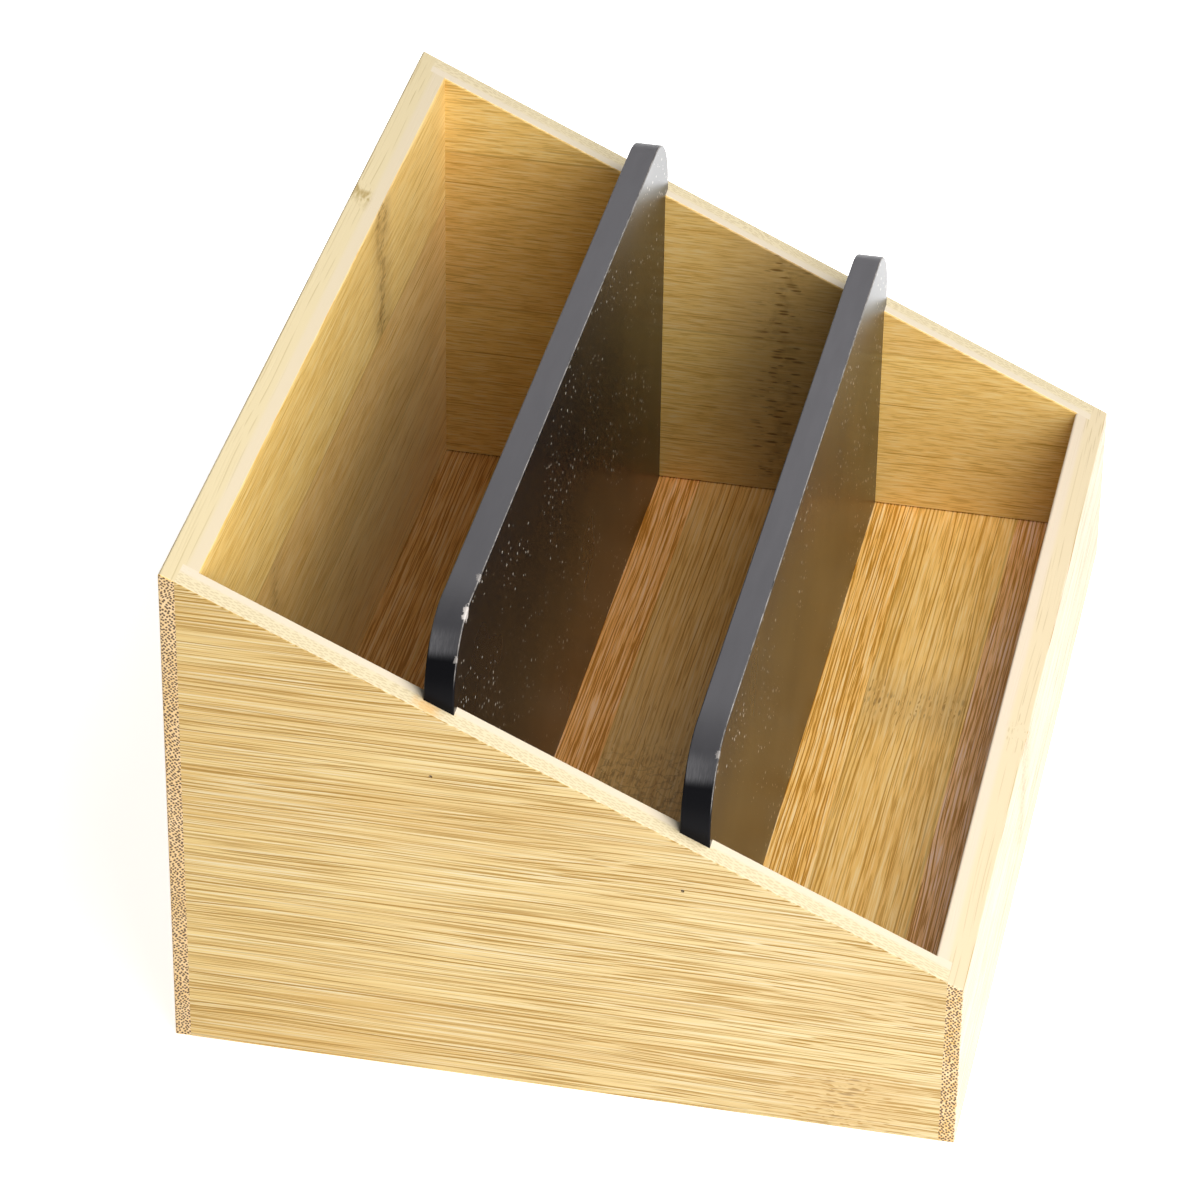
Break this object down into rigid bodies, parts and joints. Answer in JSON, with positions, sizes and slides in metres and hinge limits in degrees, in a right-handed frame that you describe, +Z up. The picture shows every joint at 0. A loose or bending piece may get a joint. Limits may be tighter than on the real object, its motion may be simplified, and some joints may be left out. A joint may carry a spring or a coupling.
{
  "type": "slanted desk organiser",
  "caption": "Bamboo desk organiser box with a rim that slants from a tall end to a short end, and black dividers that stand above the rim between its compartments.",
  "frame": {"origin": "middle of the rectangular footprint, on the surface that the box stands on", "axes": "+X from the tall end board towards the short end board, +Y along the compartments from the front board to the back board, +Z up"},
  "size_m": [0.145, 0.2, 0.1013],
  "materials": {
    "bamboo": "pale natural bamboo, sanded, clear matt finish",
    "floor_bamboo": "streaked natural bamboo, sanded, clear matt finish",
    "black_paint": "black satin paint on board, worn at the front edges",
    "pin_steel": "dull steel pin ends, sunk below the face"
  },
  "bodies": {
    "root": {"tall_end_board": "bamboo", "short_end_board": "bamboo", "front_board": "bamboo", "back_board": "bamboo", "floor_panel": "floor_bamboo", "tall_divider": "black_paint", "low_divider": "black_paint", "front_divider_pins": "pin_steel", "back_divider_pins": "pin_steel"}
  },
  "joints": []
}
